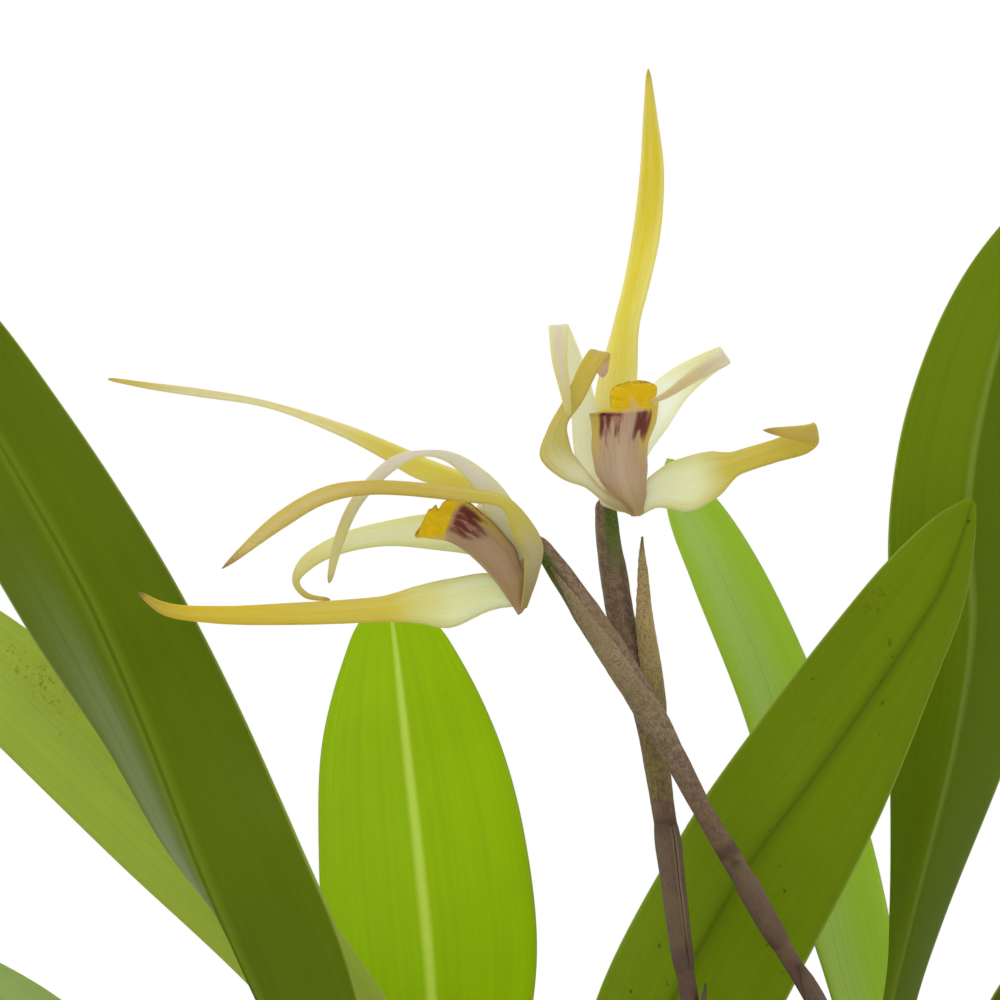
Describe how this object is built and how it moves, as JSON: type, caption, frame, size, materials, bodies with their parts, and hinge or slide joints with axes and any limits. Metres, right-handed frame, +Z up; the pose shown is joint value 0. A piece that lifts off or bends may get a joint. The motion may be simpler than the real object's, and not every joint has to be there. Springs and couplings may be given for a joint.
{
  "type": "potted orchid plant in flower",
  "caption": "Potted orchid in flower: clustered pseudobulbs in bark with strap leaves and slender scapes, each with one spidery flower, in a plain clay pot.",
  "frame": {"origin": "middle of the pot's underside, on the surface it stands on", "axes": "+Z up, +X to the right of the picture's view, +Y away from the viewer"},
  "size_m": [0.2931, 0.2917, 0.3174],
  "materials": {
    "terracotta": "matte",
    "bark_chips": "matte",
    "root": "matte",
    "pseudobulb": "satin",
    "leaf": "satin",
    "dry_sheath": "matte",
    "scape": "matte",
    "sepal": "satin",
    "petal": "satin",
    "lip": "satin",
    "column": "satin"
  },
  "bodies": {
    "root": {"pot": "terracotta", "bark": "bark_chips", "rhizome_roots": "root", "bulb_left_front": "pseudobulb", "bulb_left_back": "pseudobulb", "bulb_left_low": "pseudobulb", "bulb_middle_back": "pseudobulb", "bulb_right_back": "pseudobulb", "bulb_right_front": "pseudobulb", "bulb_right_tall": "pseudobulb", "bulb_right_low": "pseudobulb", "bulb_near_left": "pseudobulb", "bulb_near_right": "pseudobulb", "bulb_far_right": "pseudobulb", "bulb_old": "pseudobulb", "leaf_left_front": "leaf", "leaf_left_back": "leaf", "leaf_left_low": "leaf", "leaf_middle_back": "leaf", "leaf_right_back": "leaf", "leaf_right_front": "leaf", "leaf_right_tall": "leaf", "leaf_right_low": "leaf", "leaf_near_left": "leaf", "leaf_near_right": "leaf", "leaf_far_right": "leaf", "sheath_left_front": "dry_sheath", "sheath_left_back": "dry_sheath", "sheath_middle_back": "dry_sheath", "sheath_right_front": "dry_sheath", "sheath_right_tall": "dry_sheath", "sheath_right_back": "dry_sheath", "sheath_near_left": "dry_sheath", "sheath_right_low": "dry_sheath", "scape_left": "scape", "scape_right": "scape", "bract_left_floral": "scape", "bract_left_middle": "scape", "bract_left_lower": "scape", "bract_right_floral": "scape", "bract_right_middle": "scape", "bract_right_lower": "scape", "column_left": "column", "lip_left": "lip", "dorsal_sepal_left": "sepal", "front_petal_left": "petal", "front_lateral_sepal_left": "sepal", "back_petal_left": "petal", "back_lateral_sepal_left": "sepal", "column_right": "column", "lip_right": "lip", "dorsal_sepal_right": "sepal", "left_petal_right": "petal", "right_petal_right": "petal", "left_lateral_sepal_right": "sepal", "right_lateral_sepal_right": "sepal"}
  },
  "joints": []
}
